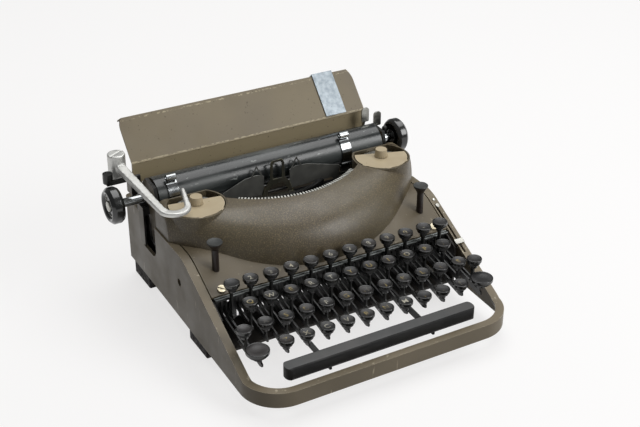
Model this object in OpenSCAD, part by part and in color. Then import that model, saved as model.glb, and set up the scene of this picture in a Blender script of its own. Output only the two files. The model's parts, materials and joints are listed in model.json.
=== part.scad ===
// Portable typewriter, built as separate pieces on their real joints.
// X runs to the right of the typist, Y to the rear and Z up.
// Working places are measured from the middle of the body, the figure row of keys and the table.

/* [Body] */
// Width of the body across the side walls
body_w = 252; // [246:1:270]
// From the figure row forward to the face of the front rail
body_front = 94; // [90:1:110]
// From the figure row back to the rear wall
body_rear = 178; // [172:1:200]
// Height of the underside of the body over the table
body_lift = 12.5; // [10:0.5:15]
// Height of the top of the front rail
rail_top = 26.5; // [24:0.5:30]
// Height of the flat rear part of the body
body_top = 82.5; // [80:0.5:90]
// Thickness of the walls and of the top flange
wall = 3; // [2:0.5:4]
// Width of the flange along the arms
arm_flange = 7.5; // [7.5:0.1:8]
// Width of the flange along the front rail
rail_flange = 7; // [6:0.5:9]
// Radius of the front corners in plan
front_r = 34; // [26:1:40]
// Radius of the rear corners in plan
rear_r = 5; // [4:1:12]

/* [Keyboard] */
// Distance between rows, seen from above
row_step = 17.7; // [17:0.1:19]
// Drop from one row of keytops to the next
row_drop = 10.4; // [9.5:0.1:11]
// Height of the figure row's keytops
figure_z = 78; // [76:0.5:84]
// Diameter of a keytop
key_d = 13.5; // [11:0.5:14.5]
// Thickness of the rim of a keytop
key_rim = 3.2; // [2:0.1:3.6]
// Thickness of a key lever
lever_t = 1.5; // [1:0.1:1.7]
// Travel of a key
key_travel = 11; // [6:0.5:11]
// Diameter of the shaft that all key levers turn on
fulcrum_d = 6; // [4:0.5:7]

/* [Ribbon cover] */
// Height of the top of the cover
cover_top = 109; // [104:0.5:112]
// How far forward of the figure row's own line the cover starts
cover_front = 10; // [6:1:20]
// Distance from the side wall to a ribbon spool
spool_inset = 32; // [30:0.5:34]
// Diameter of the cup round a ribbon spool
cup_d = 54; // [46:0.5:54]
// Diameter of the ribbon spools
spool_d = 36; // [30:0.5:36]

/* [Carriage] */
// Diameter of the platen
platen_d = 33; // [28:0.5:35]
// Length of the platen's rubber
platen_l = 229; // [215:1:232]
// Height of the platen's axis
platen_z = 104; // [102:0.5:112]
// Diameter of the platen's shaft
platen_shaft_d = 8; // [5:0.5:9]
// Diameter of the platen knobs
knob_d = 33; // [28:0.5:35]
// Thickness of the platen knobs
knob_t = 12; // [11:0.5:14]
// How far the paper table reaches past the platen at each side
table_over = 6; // [5:0.5:8]
// Travel of the carriage to each side
carriage_travel = 105; // [60:1:110]

/* [Hidden] */
$fn = 48;
fit_gap = 0.05;
run_gap = 0.3;

// paint and metal colours
olive = "#736a56";
olive_dark = "#4f4b45";
black_enamel = "#232527";
key_black = "#2b2d2e";
steel = "#a9a9a4";
chrome_plate = "#c9ccce";
brass_plate = "#b49a62";
tan_paint = "#bba98c";
rubber_black = "#26292a";

half_w = body_w / 2;
side_in = half_w - wall;
arm_slope = 0.5;
arm_foot_y = -65;
arm_head_y = arm_foot_y + (body_top - rail_top) / arm_slope;
arm_bend = 10;

// places across the machine are given for a body of this width
usual_w = 252;
across = body_w / usual_w;
key_pitch = 19.05 * across;

// top of the side wall: rail, rising arm, rounded bend and flat rear part
function arm_top(y) =
  abs(y - arm_head_y) < arm_bend
    ? body_top - arm_slope * pow(arm_bend - y + arm_head_y, 2) / (4 * arm_bend)
    : max(rail_top, min(body_top, rail_top + (y - arm_foot_y) * arm_slope));
bend_ys = [for (i = [-4:4]) arm_head_y + i * arm_bend / 4];
function bend(drop) = [for (y = bend_ys) [y, arm_top(y) - drop]];
function bend_back(drop) = [for (i = [8:-1:0]) [bend_ys[i], arm_top(bend_ys[i]) - drop]];

// letters, one list for each row of the keyboard
q_row = ["q", "w", "e", "r", "t", "y", "u", "i", "o", "p"];
a_row = ["a", "s", "d", "f", "g", "h", "j", "k", "l"];
z_row = ["z", "x", "c", "v", "b", "n", "m"];
letter_rows = [q_row, a_row, z_row];
letter_nodes = [for (row = letter_rows) for (k = row) str("key_", k)];

// keyboard grid: row 0 is the figures, row 3 the nearest to the typist
first_x = -85.2 * across;
row_shift = [0, -key_pitch / 2, -key_pitch / 4, key_pitch / 4];
row_count = [10, 11, 11, 10];
function key_x(row, col) = first_x + row_shift[row] + col * key_pitch;
function key_y(row) = -row * row_step;
function key_z(row) = figure_z - row * row_drop;

// the levers lie side by side and rise a little towards the rear
lever_deep = 5;
lever_slope = 0.18;
lever_drop = 29.5;
lever_bend_y = 20;
lever_head_z = figure_z - lever_drop + lever_slope * lever_bend_y;
function lever_top(y) = min(lever_head_z, figure_z - lever_drop + lever_slope * y);
fulcrum_y = 86;
fulcrum_z = 46;
eye_r = fulcrum_d / 2 + 1.6;
hub_drop = 9;
key_hub = 3.2;
side_lever_x = [103.2 * across, 107 * across, 111 * across];

cover_rear = 105;
cover_side = half_w - 1.3;
arc_r = 98;
arc_y = 153;
arc_z = cover_top;
seg_half_angle = 37;
spool_x = half_w - spool_inset;
spool_y = 85;
lid_z = cover_top - 1.5;

rail_y = 114;
rail_deep = 8;
rail_low = 66;
rail_high = 74;
platen_y = 125;
end_plate_y = 106.5;
end_plate_t = 3;
platen_left = -118;
platen_right = platen_left + platen_l;
left_plate_x = platen_left - end_plate_t - 1;
right_plate_x = platen_right + 1;
left_knob_x = -161;
right_knob_x = platen_right + 19;
knob_right_end = right_knob_x + knob_t;

crease_y = 150.4;
crease_z = 126.2;
table_top_y = 180;
table_top_z = 158;
table_foot_y = 150;
skirt_low = 106.5;
plate_rear_y = 145;
table_t = 1.5;
table_w = platen_l + 2 * table_over;
table_x = platen_left + platen_l / 2 - 2;
table_up = atan2(table_top_z - crease_z, table_top_y - crease_y);
table_len = norm([table_top_y - crease_y, table_top_z - crease_z]);
table_fold = 5;
guide_reach = 1.8;

// the origin is under the middle of the whole machine, on the table
table_rear = crease_y + (table_len + guide_reach) * cos(table_up)
  + (table_fold + guide_reach) * sin(table_up);
shift_x = (left_knob_x + knob_right_end) / 2;
shift_y = (table_rear - body_front) / 2;

module placed() {
  translate([-shift_x, -shift_y, 0]) children();
}

// turns an outline drawn as [y, z] into a plate that is t thick, centred on x
module plate_x(x, t) {
  translate([x - t / 2, 0, 0]) rotate([90, 0, 90]) linear_extrude(t) children();
}

module both_sides() {
  children();
  mirror([1, 0, 0]) children();
}

// rounded rectangle whose corners are true arcs
module round_rect(x0, y0, x1, y1, rf, rr) {
  difference() {
    translate([x0, y0]) square([x1 - x0, y1 - y0]);
    for (c = [[x0, y0, 1, 1, rf], [x1, y0, -1, 1, rf], [x0, y1, 1, -1, rr], [x1, y1, -1, -1, rr]])
      translate([c[0], c[1]]) scale([c[2], c[3]]) difference() {
        translate([-1, -1]) square(c[4] + 1);
        translate([c[4], c[4]]) circle(c[4]);
      }
  }
}

module body_plan(inset) {
  round_rect(-half_w + inset, -body_front + inset, half_w - inset, body_rear - inset,
    front_r - inset, rear_r - inset);
}

// the underside of the walls rises towards the rear
low_front_y = -60;
low_rear_y = 138;
low_rise = 6;
function low_edge(y) =
  body_lift + low_rise * min(1, max(0, (y - low_front_y) / (low_rear_y - low_front_y)));

// side view of the body
module body_side() {
  difference() {
    polygon(concat(
      [[-body_front - 1, body_lift], [-body_front - 1, rail_top], [arm_foot_y, rail_top]],
      bend(0),
      [[body_rear + 1, body_top], [body_rear + 1, low_edge(body_rear)],
        [low_rear_y, low_edge(body_rear)], [low_front_y, body_lift]]
    ));
    translate([body_rear, low_edge(body_rear)]) rotate(45) square(5, center = true);
  }
}

notch_front = rail_y - 7.5;
notch_rear = 140;
notch_low = 50;
notch_r = 9;
module notch_side() {
  translate([notch_front, notch_low + notch_r])
    square([notch_rear - notch_front, body_top]);
  translate([notch_front + notch_r, notch_low])
    square([notch_rear - notch_front - 2 * notch_r, body_top]);
  for (y = [notch_front + notch_r, notch_rear - notch_r])
    translate([y, notch_low + notch_r]) circle(notch_r);
}

access_y = 56;
access_z = 54;
module base_frame() {
  color(olive) difference() {
    intersection() {
      linear_extrude(body_top + 1) body_plan(0);
      plate_x(0, body_w + 2) body_side();
    }
    intersection() {
      linear_extrude(body_top + 1) body_plan(wall);
      translate([0, 0, -wall]) plate_x(0, body_w + 2) body_side();
      translate([0, 0, -wall]) cylinder(h = body_top, r = 3 * body_w);
    }
    translate([0, 0, -1]) linear_extrude(body_lift + 2) body_plan(wall);
    translate([0, 0, -1]) linear_extrude(body_top + 3)
      round_rect(-half_w + arm_flange, -body_front + rail_flange,
        half_w - arm_flange, body_rear - arm_flange, front_r - rail_flange, 3);
    plate_x(0, body_w + 2) notch_side();
    both_sides() translate([half_w, access_y, access_z]) rotate([0, 90, 0])
      cylinder(h = 4 * wall, r = 3.5, center = true);
    touch_slot();
  }
  color(olive) both_sides() {
    difference() {
      union() {
        ledge(half_w - arm_flange - 5.5, cover_rear - 18);
        ledge(screw_x - 3.5, 13);
      }
      screw_hole();
    }
    for (i = [0, 1]) translate([foot_x, foot_y[i], foot_top[i]])
      cube([foot_w + 1, foot_l, wall]);
  }
}

// strip under the panel's edge, from x0 out to the arm, long enough to reach back by len
module ledge(x0, len) {
  x1 = half_w - arm_flange + 0.9;
  plate_x((x0 + x1) / 2, x1 - x0) translate([0, -ledge_drop]) intersection() {
    deck_line(deck_t);
    translate([deck_edge + 1, 0]) square([len, body_top]);
  }
}

module screw_hole() {
  translate([screw_x, screw_y, arm_top(screw_y)]) rotate([atan(arm_slope), 0, 0])
    cylinder(h = 12, d = screw_d, center = true);
}

// slot in the right arm that the touch regulator slides along
touch_slot_y = 7.5;
touch_slot_l = 56;
touch_x = side_in - 2;
touch_y = -7;
module touch_slot() {
  translate([touch_x, touch_slot_y, arm_top(touch_slot_y)]) rotate([atan(arm_slope), 0, 0])
    cube([2.2, touch_slot_l, 10], center = true);
}

deck_edge = 8;
deck_t = 1.5;
ledge_drop = deck_t * 1.118;
foot_w = 14;
foot_l = 36;
foot_x = side_in - 0.2 - foot_w;
foot_y = [12, low_rear_y];
foot_top = [body_lift + 3.5, body_lift + 7];
deck_half = half_w - arm_flange - 1.2;
screw_y = 12.5;
screw_x = deck_half - 11;
screw_d = 3.5;
plunger_x = half_w - 23.5;
plunger_y = 30.5;
plunger_stem_d = 6;
module deck_line(t) {
  polygon(concat(
    [[deck_edge, arm_top(deck_edge)]], bend(0),
    [[cover_rear - 12, body_top], [cover_rear - 12, body_top - t * 1.118]],
    bend_back(t * 1.118), [[deck_edge, arm_top(deck_edge) - t * 1.118]]
  ));
}

module front_panel() {
  color(olive) difference() {
    plate_x(0, 2 * deck_half) deck_line(deck_t);
    translate([-post_x - 12, arc_y - arc_r - 3, body_top - 10])
      cube([2 * post_x + 24, body_rear, 20]);
    both_sides() translate([plunger_x, plunger_y, body_lift])
      cylinder(h = body_top, d = plunger_stem_d + 2 * fit_gap);
    both_sides() screw_hole();
  }
}

// the cover is drawn as sections across the machine, from one side to the other
cover_edge_r = 9;
cover_shell = 2;
cover_foot_z = 58;
function base_arc_y(x) = cover_front + 150 - sqrt(150 * 150 - x * x);
function crest_y(x) = min(arc_y - arc_r + 6 + x * x / 640, 84);
function shoulder(x, half) =
  let (d = max(0, abs(x) - half + cover_edge_r))
  cover_edge_r - sqrt(max(0, cover_edge_r * cover_edge_r - d * d));
function cover_section(x, inset, half) =
  let (
    top = cover_top - inset - shoulder(x, half),
    low = cover_foot_z - inset,
    yb = base_arc_y(x) + inset,
    yt = max(crest_y(x), yb + 4),
    back = cover_rear + inset * 0.5
  )
  concat(
    [for (t = [0:6:90]) [x, yt - (yt - yb) * sin(t), low + (top - low) * pow(cos(t), 0.72)]],
    [[x, back, low], [x, back, top]]
  );

module cover_solid(inset) {
  half = cover_side - inset;
  steps = 44;
  xs = [for (i = [0:steps]) half * sin(90 * (2 * i / steps - 1))];
  rings = [for (x = xs) cover_section(x, inset, half)];
  n = len(rings[0]);
  points = [for (ring = rings) for (p = ring) p];
  here = [for (i = [0:steps - 1]) for (j = [0:n - 1])
    [i * n + j, (i + 1) * n + (j + 1) % n, i * n + (j + 1) % n]];
  beside = [for (i = [0:steps - 1]) for (j = [0:n - 1])
    [i * n + j, (i + 1) * n + j, (i + 1) * n + (j + 1) % n]];
  caps = [[for (j = [0:n - 1]) j], [for (j = [n - 1:-1:0]) steps * n + j]];
  polyhedron(points = points, faces = concat(here, beside, caps), convexity = 6);
}

cup_low = 93;
cup_wall = 1.5;
spool_axle_d = 5;
module ribbon_cover() {
  color(olive) difference() {
    union() {
      difference() {
        cover_solid(0);
        cover_solid(cover_shell);
        translate([0, arc_y, cup_low]) cylinder(h = 40, r = arc_r, $fn = 180);
        both_sides() translate([spool_x, spool_y, cup_low]) cylinder(h = 40, d = cup_d - 0.4);
      }
      both_sides() translate([spool_x, spool_y, 0]) difference() {
        translate([0, 0, cup_low]) cylinder(h = cover_top - cup_low - 0.6, d = cup_d);
        intersection() {
          translate([0, 0, cup_low + cup_wall]) cylinder(h = 40, d = cup_d - 2 * cup_wall);
          translate([-cup_d, -cup_d, 0])
            cube([2 * cup_d, cup_d + cover_rear - cup_wall - spool_y, 2 * cover_top]);
        }
        cylinder(h = cover_top, d = spool_axle_d + 2 * fit_gap);
      }
    }
    under_deck();
    translate([-body_w, cover_rear, 0]) cube([2 * body_w, 60, 200]);
  }
}

// everything below the surface that the cover stands on
module under_deck() {
  plate_x(0, body_w + 20) polygon(concat(
    [[-body_front, body_lift - 20], [-body_front, arm_top(deck_edge) - 20],
      [deck_edge - 40, arm_top(deck_edge) - 20]],
    bend(0), [[body_rear, body_top], [body_rear, body_lift - 20]]
  ));
}

chassis_x = half_w - wall - 6;
chassis_t = 2;
tie_low = body_lift + 2.5;
tie_t = 2.5;
tie_ys = [-8, 50];
tie_w = [18, 10];
chassis_l = 170;
// plate under the rear rows of keys, narrower where it passes between the front feet
pan_half = 104;
pan_l = 44;
rear_tie_y = 90;
rear_tie_end = rail_y + 9;
post_x = arc_r * sin(seg_half_angle) + 4;
post_top = 82;
module chassis() {
  color(black_enamel) {
    difference() {
      union() {
        both_sides() plate_x(chassis_x, chassis_t) difference() {
          intersection() {
            translate([0, -wall - 0.6]) body_side();
            translate([tie_ys[0], 0]) square([chassis_l, body_top]);
          }
          translate([tie_ys[0], 0]) square([chassis_l, tie_low]);
          for (i = [0, 1]) translate([foot_y[i] - 1, 0])
            square([foot_l + 2, foot_top[i] + wall]);
          notch_side();
        }
        both_sides() for (p = [[7, 31], [70, 66], [150, 34]])
          translate([chassis_x, p[0], p[1]]) rotate([0, 90, 0])
            cylinder(h = side_in - chassis_x, d = 8);
        for (i = [0, 1])
          translate([-chassis_x, tie_ys[i], tie_low]) cube([2 * chassis_x, tie_w[i], tie_t]);
        translate([-pan_half, tie_ys[0], tie_low]) cube([2 * pan_half, pan_l, tie_t]);
        translate([-chassis_x, rear_tie_y, tie_low])
          cube([2 * chassis_x, rear_tie_end - rear_tie_y, tie_t]);
        for (x = [-96, 0, 96])
          translate([x - 3, rail_y - 3, tie_low]) cube([6, 6, rail_low - tie_low]);
        both_sides() translate([post_x - 4, rear_tie_y + 1, tie_low])
          cube([8, 6, post_top - tie_low]);
      }
      both_sides() translate([chassis_x, fulcrum_y, fulcrum_z]) rotate([0, 90, 0])
        cylinder(h = 10, d = fulcrum_d, center = true);
    }
  }
}

comb_y = 6.5;
comb_t = 1.5;
comb_low = 38;
comb_slot = 2.3;
comb_lip = 5;
comb_top = arm_top(deck_edge) - 3.2;
comb_xs = concat(
  [for (row = [0:3]) for (col = [0:row_count[row] - 1]) key_x(row, col)],
  [for (s = [-1, 1]) for (x = side_lever_x) s * x]
);
module key_comb() {
  half = chassis_x - chassis_t / 2;
  color(black_enamel) difference() {
    union() {
      translate([-half, comb_y, comb_low]) cube([2 * half, comb_t, comb_top + comb_t - comb_low]);
      translate([-half, comb_y + comb_t - comb_lip, comb_top]) cube([2 * half, comb_lip, comb_t]);
      for (y = [comb_y + comb_t - comb_lip + 1, comb_y + comb_t - 1])
        translate([-half, y, comb_top + comb_t]) rotate([0, 90, 0])
          cylinder(h = 2 * half, d = 1.8, $fn = 24);
    }
    for (x = comb_xs)
      translate([x - comb_slot / 2, comb_y - 1, comb_low - 1])
        cube([comb_slot, 4, comb_top - comb_low + 1]);
  }
}

module fulcrum_shaft() {
  color(steel) translate([0, fulcrum_y, fulcrum_z]) rotate([0, 90, 0])
    cylinder(h = 2 * chassis_x + chassis_t, d = fulcrum_d, center = true);
}

// lever of a key at distance y, its hub ends hub_drop below the keytop
module lever_side(y, top_z) {
  tip = y - 4;
  difference() {
    union() {
      polygon([
        [tip, lever_top(tip) - lever_deep + 2], [tip, lever_top(tip) - 0.5],
        [y - 2, lever_top(y - 2)], [y - 2, top_z - hub_drop + 1.5],
        [y + 2, top_z - hub_drop + 1.5], [y + 2, lever_top(y + 2)],
        [lever_bend_y, lever_head_z], [fulcrum_y - 8, lever_head_z - 1],
        [fulcrum_y, fulcrum_z + eye_r], [fulcrum_y, fulcrum_z - eye_r],
        [fulcrum_y - 10, fulcrum_z - 2], [lever_bend_y, lever_head_z - lever_deep],
        [y, lever_top(y) - lever_deep]
      ]);
      translate([fulcrum_y, fulcrum_z]) circle(eye_r);
    }
    translate([fulcrum_y, fulcrum_z]) circle(fulcrum_d / 2 + fit_gap);
  }
}

// dished keytop that narrows to a hub
module keytop(d, hub) {
  dish = d * 1.6;
  difference() {
    rotate_extrude() polygon([
      [0, -hub_drop], [hub, -hub_drop], [hub, -hub_drop + 2], [d * 0.4, -key_rim - 2],
      [d / 2 - 0.8, -key_rim], [d / 2 - 0.2, -key_rim + 0.25], [d / 2, -key_rim + 0.7],
      [d / 2, -0.7], [d / 2 - 0.12, -0.3], [d / 2 - 0.4, -0.06], [d / 2 - 0.7, 0], [0, 0]
    ]);
    translate([0, 0, dish - 0.9]) sphere(dish);
  }
}

module key(x, y, z) {
  color(black_enamel) plate_x(x, lever_t) lever_side(y, z);
  color(key_black) translate([x, y, z]) keytop(key_d, key_hub);
}

module letter_key(row, col) {
  key(key_x(row, col), key_y(row), key_z(row));
}

module figure_and_sign_keys() {
  for (col = [0:row_count[0] - 1]) letter_key(0, col);
  for (row = [1:3]) for (col = [len(letter_rows[row - 1]):row_count[row] - 1])
    letter_key(row, col);
}

// cap and lever of a control key at the side of the keyboard
module side_key(lever_x, cap_x, y, z, d, hub) {
  color(black_enamel) plate_x(lever_x, lever_t) lever_side(y, z);
  color(key_black) translate([cap_x, y, z]) keytop(d, hub);
}

margin_x = -side_lever_x[0];
module margin_release_key() {
  side_key(margin_x, margin_x + 0.8, 0, figure_z, key_d, key_hub);
}

module tab_key() {
  side_key(-margin_x, -margin_x, -1, figure_z + 1, key_d, key_hub);
}

shift_y_pos = -58.5;
shift_z = 49.5;
shift_d = 20;
link_y = 62;
link_z = 21;
module shift_keys() {
  side_key(-side_lever_x[1], -side_lever_x[1] - 2, shift_y_pos, shift_z, shift_d, key_hub + 0.8);
  side_key(side_lever_x[1], side_lever_x[1] + 2.5, shift_y_pos, shift_z, shift_d, key_hub + 0.8);
  color(black_enamel) {
    both_sides() plate_x(side_lever_x[1], lever_t)
      translate([link_y - 2.5, link_z - 2]) square([6, lever_head_z - 2 - link_z]);
    translate([0, link_y, link_z]) rotate([0, 90, 0])
      cylinder(h = 2 * side_lever_x[1] + lever_t, d = 4, center = true);
  }
}

lock_x = -side_lever_x[2];
lock_y = -41;
lock_z = 60;
module shift_lock() {
  side_key(lock_x, lock_x - 1, lock_y, lock_z, key_d, key_hub);
}

module back_spacer() {
  side_key(-lock_x, -lock_x + 1, lock_y - 2, lock_z, key_d, key_hub);
}

bar_y = -77.2;
bar_z = 40;
bar_l = 182 * across;
bar_x = -4;
bar_deep = 13.4;
bar_high = 11;
// the two arms run in gaps between levers that no hub of the lowest row reaches
arm_gap_left = first_x + key_pitch * 1.625;
arm_gap_right = first_x + key_pitch * 6.875;
module space_bar() {
  color(key_black) translate([bar_x, bar_y, bar_z]) {
    intersection() {
      rotate([90, 0, 90]) linear_extrude(bar_l, center = true) polygon([
        [-bar_deep / 2 + 0.8, -bar_high], [-bar_deep / 2, -bar_high + 2],
        [-bar_deep / 2, -3], [-bar_deep / 2 + 0.8, -1.2], [-bar_deep / 2 + 2.2, -0.4],
        [bar_deep / 2 - 1.6, 0], [bar_deep / 2 - 0.4, -0.6], [bar_deep / 2, -2],
        [bar_deep / 2, -bar_high]
      ]);
      translate([0, 0, -bar_high]) linear_extrude(bar_high)
        round_rect(-bar_l / 2, -bar_deep / 2, bar_l / 2, bar_deep / 2, 6, 6);
    }
  }
  color(black_enamel) for (x = [arm_gap_left, arm_gap_right]) plate_x(x, 2) difference() {
    union() {
      polygon([
        [bar_y - 3, bar_z - bar_high], [bar_y + 3, bar_z - bar_high], [bar_y + 19, 30],
        [fulcrum_y - 16, 37], [fulcrum_y, fulcrum_z + eye_r], [fulcrum_y, fulcrum_z - eye_r],
        [fulcrum_y - 14, 31], [bar_y + 19, 24], [bar_y - 3, bar_z - bar_high - 5]
      ]);
      translate([fulcrum_y, fulcrum_z]) circle(eye_r);
    }
    translate([fulcrum_y, fulcrum_z]) circle(fulcrum_d / 2 + fit_gap);
  }
}

// four rubber blocks under the side walls
module rubber_feet() {
  color(rubber_black) both_sides() for (i = [0, 1])
    translate([foot_x, foot_y[i], 0]) cube([foot_w, foot_l, foot_top[i]]);
}

module cover_screws() {
  color(brass_plate) both_sides()
    translate([screw_x, screw_y, arm_top(screw_y)]) rotate([atan(arm_slope), 0, 0]) {
      difference() {
        cylinder(h = 1.6, d = 7);
        translate([0, 0, 1.6]) rotate(35) cube([8, 1.1, 1.6], center = true);
      }
      translate([0, 0, -5]) cylinder(h = 5.5, d = screw_d);
    }
}

seg_teeth = 42;
seg_low = 80;
seg_step = 2 * seg_half_angle / seg_teeth;
seg_end_y = arc_y - arc_r * cos(seg_half_angle) + 1.3;

// turns to the place of one tooth gap of the arc
module at_gap(i) {
  translate([0, arc_y, 0]) rotate([0, 0, 270 - seg_half_angle + (i + 0.5) * seg_step])
    children();
}

module type_basket() {
  color(steel) difference() {
    translate([0, arc_y, 0]) rotate([0, 0, 270 - seg_half_angle])
      rotate_extrude(angle = 2 * seg_half_angle, $fn = 180) polygon([
        [arc_r - 0.4, arc_z - 1], [arc_r - 0.4, arc_z - 6], [arc_r - 2.4, seg_low],
        [arc_r - 9, seg_low], [arc_r - 9, seg_low + 4.6], [arc_r - 4.6, arc_z - 6],
        [arc_r - 4.6, arc_z - 1]
      ]);
    for (i = [0:seg_teeth - 1])
      at_gap(i) translate([arc_r - 6, -0.75, arc_z - 5]) cube([7, 1.5, 8]);
  }
  color(black_enamel) {
    both_sides() translate([post_x - 7, seg_end_y, post_top])
      cube([8, card_front - seg_end_y, 3]);
    translate([4.2 - post_x, rear_tie_y + 3, post_top - 4])
      cube([2 * post_x - 8.4, 9, 4.5]);
  }
  color(black_enamel) for (i = [0:seg_teeth - 1])
    at_gap(i) rotate([90, 0, 0]) linear_extrude(1, center = true) polygon([
        [arc_r - 3.5, arc_z - 9], [arc_r - 3.5, arc_z - 14], [bar_tip_r, 84.5],
        [bar_tip_r, 93], [bar_tip_r + 4, 93], [bar_tip_r + 4, 87.5]
      ]);
}

print_x = -5;
guide_y = 104.1;
card_y = 105.4;
card_front = 103;
bar_tip_r = arc_y - guide_y + 15.1;
module ribbon_guide() {
  color(olive_dark) {
    translate([print_x, guide_y, 0]) rotate([90, 0, 0]) linear_extrude(1, center = true)
      difference() {
        polygon([[-16, 84], [-14, 92], [-11, 98], [-7.5, 102], [-7, 117], [-6, 119.5], [-4, 121],
          [4, 121], [6, 119.5], [7, 117], [7.5, 102], [11, 98], [14, 92], [16, 84]]);
        polygon([[-12, 83], [-10.5, 90], [-7, 95], [-3, 97.5], [3, 97.5], [7, 95], [10.5, 90],
          [12, 83]]);
        polygon([[-4.6, 102], [-4.6, 116.5], [-3, 118.6], [3, 118.6], [4.6, 116.5], [4.6, 102]]);
      }
    translate([print_x - 16, guide_y - 7, post_top + 2]) cube([32, 7.5, 2]);
  }
}

module card_holder() {
  color(black_enamel) for (s = [-1, 1]) {
    translate([print_x, card_y, 0]) rotate([90, 0, 0]) linear_extrude(0.8, center = true)
      scale([s, 1]) polygon([
        [14, 88], [13, 107], [20, 109.5], [32, 108.5], [post_x - 2 - s * print_x, 99],
        [post_x - 2 - s * print_x, 82], [post_x - 6 - s * print_x, 82],
        [post_x - 10 - s * print_x, 88]
      ]);
    translate([s * (post_x - 3.5) - 2.5, card_front, post_top])
      cube([5, card_y + 0.4 - card_front, 3]);
    translate([print_x + s * 20.4, card_y, 0]) rotate([90, 0, 0])
      linear_extrude(0.8, center = true) difference() {
        polygon([[-7, 106], [0, 119], [7, 106]]);
        polygon([[-5.4, 106], [0, 116.5], [5.4, 106]]);
      }
  }
}

module ribbon_spool() {
  low = cup_wall + run_gap;
  color(steel) {
    cylinder(h = lid_z - cup_low + 4, d = spool_axle_d);
    translate([0, 0, low]) cylinder(h = 1, d = spool_d);
    translate([0, 0, low]) cylinder(h = 11, d = 16);
    translate([0, 0, low + 10]) cylinder(h = 1, d = spool_d);
  }
  color(tan_paint) translate([0, 0, lid_z + lid_t + run_gap - cup_low]) difference() {
    cylinder(h = 7, d1 = 12.5, d2 = 10.5);
    for (a = [0:20:340]) rotate(a) translate([6.4, 0, -1]) cylinder(h = 9, d = 1.1, $fn = 16);
  }
}

module spool_left() {
  translate([-spool_x, spool_y, cup_low]) ribbon_spool();
}

module spool_right() {
  translate([spool_x, spool_y, cup_low]) ribbon_spool();
}

lid_cut = 6.3;
lid_turn = [-9, -19];
lid_t = 1.2;
lid_gap = 1;
module spool_lids() {
  cup_in = cup_d - 2 * cup_wall;
  color(tan_paint) for (i = [0, 1])
    translate([(2 * i - 1) * spool_x, spool_y, lid_z]) difference() {
      union() {
        cylinder(h = lid_t, d = cup_in - 2 * lid_gap);
        intersection() {
          cylinder(h = lid_t, d = cup_in);
          for (a = [200, 255, 310]) rotate(a) translate([0, -2, 0]) cube([cup_in, 4, lid_t]);
        }
      }
      rotate(lid_turn[i]) translate([-cup_d, lid_cut, -1]) cube([2 * cup_d, cup_d, 4]);
      translate([0, 0, -1]) cylinder(h = 4, d = spool_axle_d + 1);
    }
}

module carriage_rail() {
  half = chassis_x - chassis_t / 2;
  color(steel) translate([-half, rail_y - rail_deep / 2, rail_low])
    cube([2 * half, rail_deep, rail_high - rail_low]);
}

channel_wall = 2.2;
bracket_x0 = -152;
bracket_w = 11.5;
bracket_web_x = -130;
pivot_x = -140;
pivot_y = 150;
pivot_d = 6;
bracket_z = 116;
release_y = 140;
release_z = 87;
release_d = 4;
release_shaft_x = [-127, platen_right + 17];
paper_shaft_y = 147;
paper_shaft_z = 103;
paper_shaft_d = 3;
module end_plate(x) {
  plate_x(x + end_plate_t / 2, end_plate_t) difference() {
    polygon([
      [rail_y - 5.7, 72], [rail_y - 5.7, 84], [end_plate_y, 88], [end_plate_y, 98],
      [end_plate_y + 6, 118], [plate_rear_y - 13, 119], [plate_rear_y - 4.5, 110],
      [plate_rear_y - 4.5, 106], [plate_rear_y + 8, 106], [plate_rear_y + 8, 86],
      [146, 83.2], [rail_y + 13, 83.2], [rail_y + 8, 72]
    ]);
    translate([platen_y, platen_z]) circle(platen_shaft_d / 2 + fit_gap);
    translate([release_y, release_z]) circle(release_d / 2 + fit_gap);
    translate([paper_shaft_y, paper_shaft_z]) circle(paper_shaft_d / 2 + fit_gap);
    translate([finger_rod_y, finger_rod_z]) circle(finger_rod_d / 2 + fit_gap);
  }
}

module carriage_frame() {
  lip_front = rail_y - rail_deep / 2 - run_gap - channel_wall;
  lip_rear = rail_y + rail_deep / 2 + run_gap + channel_wall;
  left = left_plate_x;
  right = right_plate_x + end_plate_t;
  color(black_enamel) difference() {
    union() {
      translate([left, lip_front, rail_high - 5])
        cube([right - left, lip_rear - lip_front, 5 + run_gap + channel_wall]);
      end_plate(left_plate_x);
      end_plate(right_plate_x);
      translate([left, plate_rear_y - 1, 91]) cube([right - left, 6, 8]);
      translate([left - 5, platen_y, 86]) cube([6, 11, 8]);
      translate([left - 6.5, platen_y, 56]) cube([1.7, 11, 38]);
      translate([bracket_x0, pivot_y + 7 - bracket_w, bracket_z - 4])
        cube([bracket_web_x - bracket_x0 + 3, bracket_w, 4]);
      translate([bracket_web_x, pivot_y + 7 - bracket_w, 97])
        cube([3, bracket_w, bracket_z - 97]);
      translate([bracket_web_x, pivot_y + 7 - bracket_w, 97])
        cube([left - bracket_web_x + 1, 7, 4]);
    }
    translate([left - 1, rail_y - rail_deep / 2 - run_gap, rail_high - 6])
      cube([right - left + 2, rail_deep + 2 * run_gap, 6 + run_gap]);
  }
  color(steel) translate([pivot_x, pivot_y, bracket_z - 4]) cylinder(h = 22, d = pivot_d);
}

module platen() {
  color(rubber_black) translate([platen_left, platen_y, platen_z]) rotate([0, 90, 0])
    difference() {
      cylinder(h = platen_l, d = platen_d, $fn = 96);
      translate([0, 0, -1]) cylinder(h = platen_l + 2, d = platen_shaft_d);
    }
  color(steel) translate([left_knob_x + 2, platen_y, platen_z]) rotate([0, 90, 0])
    cylinder(h = knob_right_end - left_knob_x - 4, d = platen_shaft_d);
}

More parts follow.
